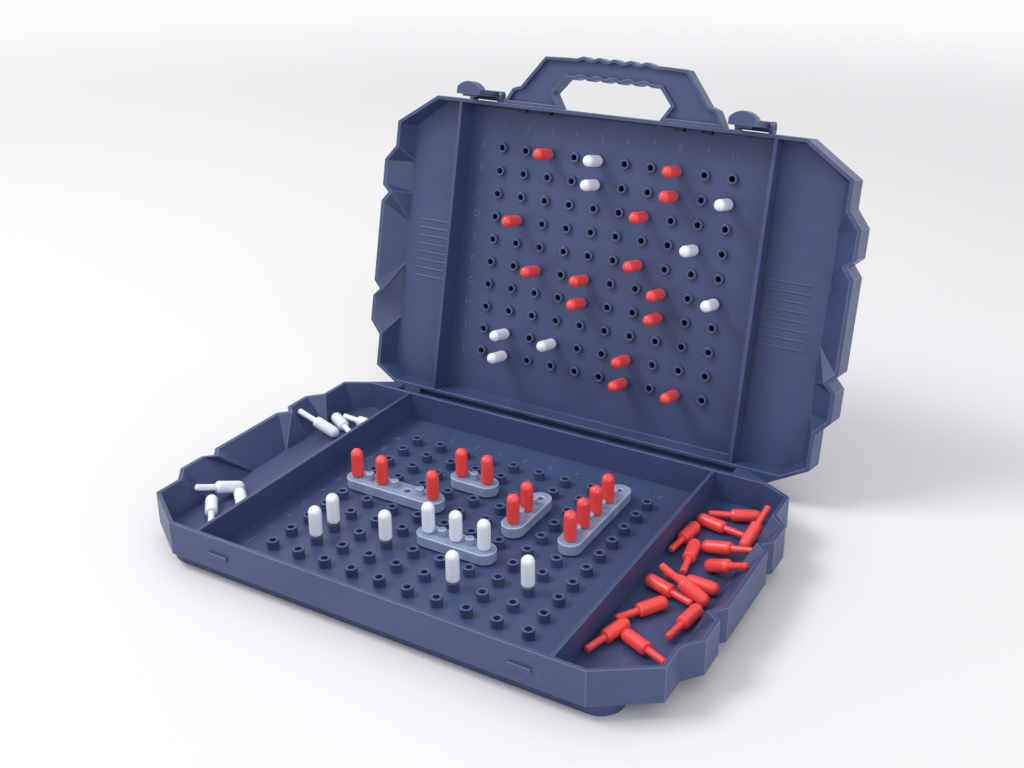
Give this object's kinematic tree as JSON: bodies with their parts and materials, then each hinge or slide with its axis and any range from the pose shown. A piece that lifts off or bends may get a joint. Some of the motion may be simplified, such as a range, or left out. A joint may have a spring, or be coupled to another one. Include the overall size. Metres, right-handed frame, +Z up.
{
  "type": "fleet guessing case",
  "caption": "Folding plastic case for a fleet guessing game: peg grids in base and lid, ships, pegs, side trays, hinged lid with handle and latches.",
  "frame": {"origin": "middle of the flat underside, below the middle of the base's grid", "axes": "+X right along the case's width, +Y from the front towards the hinge, +Z up"},
  "size_m": [0.258, 0.2329, 0.1926],
  "materials": {
    "case_plastic": "fine moulded grain",
    "cover_plastic": "fine moulded grain",
    "latch_plastic": "satin",
    "red_plastic": "gloss",
    "white_plastic": "gloss",
    "ship_plastic": "cloudy gloss",
    "steel": "plain"
  },
  "bodies": {
    "base": {"base_tray": "case_plastic", "base_cover": "cover_plastic", "base_cover_screws": "steel", "hinge_pins": "steel"},
    "lid": {"lid_tray": "case_plastic", "lid_cover": "cover_plastic", "lid_cover_screws": "steel", "carry_handle": "case_plastic", "handle_screws": "steel", "latch_pins": "steel"},
    "latch_left": {"latch_left": "latch_plastic"},
    "latch_right": {"latch_right": "latch_plastic"},
    "ship_five": {"ship_five": "ship_plastic"},
    "ship_five_pegs": {"ship_five_pegs": "red_plastic"},
    "ship_four": {"ship_four": "ship_plastic"},
    "ship_four_pegs": {"ship_four_pegs": "red_plastic"},
    "ship_three_long": {"ship_three_long": "ship_plastic"},
    "ship_three_long_pegs": {"ship_three_long_pegs": "red_plastic"},
    "ship_three_wide": {"ship_three_wide": "ship_plastic"},
    "ship_three_wide_pegs": {"ship_three_wide_pegs": "white_plastic"},
    "ship_two": {"ship_two": "ship_plastic"},
    "ship_two_pegs": {"ship_two_pegs": "red_plastic"},
    "ocean_miss_pegs": {"ocean_miss_pegs": "white_plastic"},
    "target_hit_pegs": {"target_hit_pegs": "red_plastic"},
    "target_miss_pegs": {"target_miss_pegs": "white_plastic"},
    "loose_red_pegs": {"loose_red_pegs": "red_plastic"},
    "loose_white_pegs": {"loose_white_pegs": "white_plastic"}
  },
  "joints": [
    {"name": "lid_hinge", "type": "hinge", "parent": "base", "child": "lid", "pos_m": [0, 0.0863, 0.0101], "axis": [-1, 0, 0], "range_deg": [-102.8, 0]},
    {"name": "latch_left_pivot", "type": "hinge", "parent": "lid", "child": "latch_left", "pos_m": [-0.0723, 0.14128, 0.16815], "axis": [-1, 0, 0], "range_deg": [-3.5, 75]},
    {"name": "latch_right_pivot", "type": "hinge", "parent": "lid", "child": "latch_right", "pos_m": [0.0723, 0.14128, 0.16815], "axis": [-1, 0, 0], "range_deg": [-3.5, 75]},
    {"name": "ship_five_lift", "type": "slide", "parent": "base", "child": "ship_five", "axis": [0, 0, 1], "range_m": [0, 0.03]},
    {"name": "ship_five_pegs_lift", "type": "slide", "parent": "ship_five", "child": "ship_five_pegs", "axis": [0, 0, 1], "range_m": [0, 0.03]},
    {"name": "ship_four_lift", "type": "slide", "parent": "base", "child": "ship_four", "axis": [0, 0, 1], "range_m": [0, 0.03]},
    {"name": "ship_four_pegs_lift", "type": "slide", "parent": "ship_four", "child": "ship_four_pegs", "axis": [0, 0, 1], "range_m": [0, 0.03]},
    {"name": "ship_three_long_lift", "type": "slide", "parent": "base", "child": "ship_three_long", "axis": [0, 0, 1], "range_m": [0, 0.03]},
    {"name": "ship_three_long_pegs_lift", "type": "slide", "parent": "ship_three_long", "child": "ship_three_long_pegs", "axis": [0, 0, 1], "range_m": [0, 0.03]},
    {"name": "ship_three_wide_lift", "type": "slide", "parent": "base", "child": "ship_three_wide", "axis": [0, 0, 1], "range_m": [0, 0.03]},
    {"name": "ship_three_wide_pegs_lift", "type": "slide", "parent": "ship_three_wide", "child": "ship_three_wide_pegs", "axis": [0, 0, 1], "range_m": [0, 0.03]},
    {"name": "ship_two_lift", "type": "slide", "parent": "base", "child": "ship_two", "axis": [0, 0, 1], "range_m": [0, 0.03]},
    {"name": "ship_two_pegs_lift", "type": "slide", "parent": "ship_two", "child": "ship_two_pegs", "axis": [0, 0, 1], "range_m": [0, 0.03]},
    {"name": "ocean_miss_pegs_lift", "type": "slide", "parent": "base", "child": "ocean_miss_pegs", "axis": [0, 0, 1], "range_m": [0, 0.03]},
    {"name": "target_hit_pegs_lift", "type": "slide", "parent": "lid", "child": "target_hit_pegs", "axis": [0, -0.9751, 0.2215], "range_m": [0, 0.03]},
    {"name": "target_miss_pegs_lift", "type": "slide", "parent": "lid", "child": "target_miss_pegs", "axis": [0, -0.9751, 0.2215], "range_m": [0, 0.03]},
    {"name": "loose_red_pegs_lift", "type": "slide", "parent": "base", "child": "loose_red_pegs", "axis": [0, 0, 1], "range_m": [0, 0.03]},
    {"name": "loose_white_pegs_lift", "type": "slide", "parent": "base", "child": "loose_white_pegs", "axis": [0, 0, 1], "range_m": [0, 0.03]}
  ]
}
